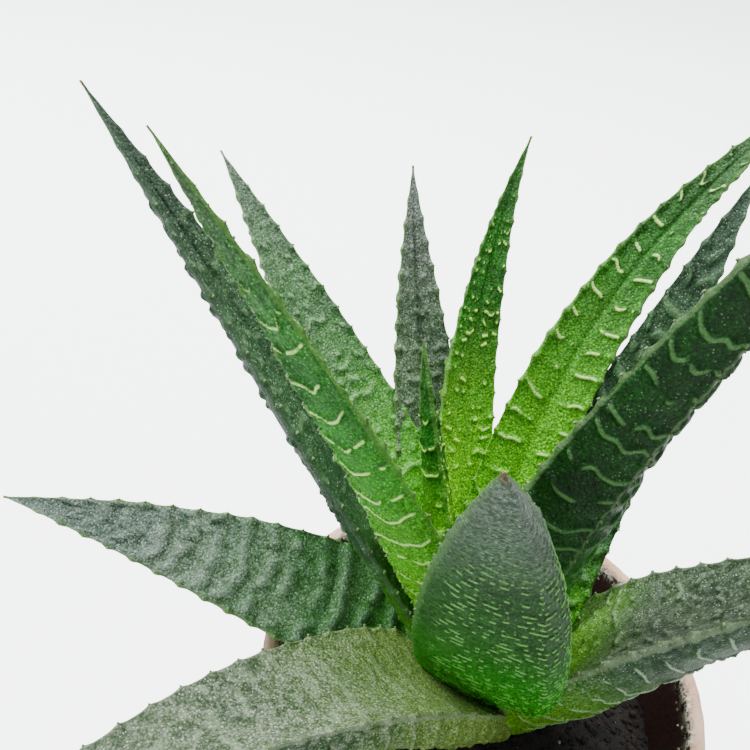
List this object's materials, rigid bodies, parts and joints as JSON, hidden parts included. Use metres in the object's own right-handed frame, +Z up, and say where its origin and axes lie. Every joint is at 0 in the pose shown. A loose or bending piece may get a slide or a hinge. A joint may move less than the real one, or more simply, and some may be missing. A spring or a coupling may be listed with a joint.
{
  "type": "potted haworthia",
  "caption": "Potted succulent: a leaning rosette of long, tapering, keeled leaves on a short stem, in soil in a small plain clay pot.",
  "frame": {"origin": "on the pot's axis, on the flat underside of its foot", "axes": "+Z up the pot's axis; -Y is the front, the side with the broad leaf that stands before the heart; the rosette leans towards -X"},
  "size_m": [0.129, 0.1035, 0.1652],
  "materials": {
    "terracotta": "unglazed, chalky, with fine dark specks and a pale mineral crust at the lip",
    "soil": "loose dark potting mix with a few pale grains",
    "stem": "dull brown-green",
    "leaf_fresh": "waxy fresh green with pale raised bars and fine white flecks",
    "leaf_grey": "dull grey-green, finely flecked with white, yellow-green at the base",
    "leaf_dark": "dark green with long pale raised bars"
  },
  "bodies": {
    "root": {"pot": "terracotta", "soil": "soil", "stem": "stem", "leaf_heart_smallest": "leaf_fresh", "leaf_heart_small": "leaf_fresh", "leaf_heart_young": "leaf_fresh", "leaf_heart_tall": "leaf_fresh", "leaf_right_curved": "leaf_fresh", "leaf_back": "leaf_grey", "leaf_back_left": "leaf_grey", "leaf_left_barred": "leaf_fresh", "leaf_right_dark": "leaf_dark", "leaf_left_long": "leaf_grey", "leaf_low_back_right": "leaf_grey", "leaf_low_left": "leaf_grey", "leaf_front": "leaf_grey", "leaf_right_grey": "leaf_grey", "leaf_low_right": "leaf_grey", "leaf_low_front_left": "leaf_grey", "leaf_low_back": "leaf_grey"}
  },
  "joints": []
}
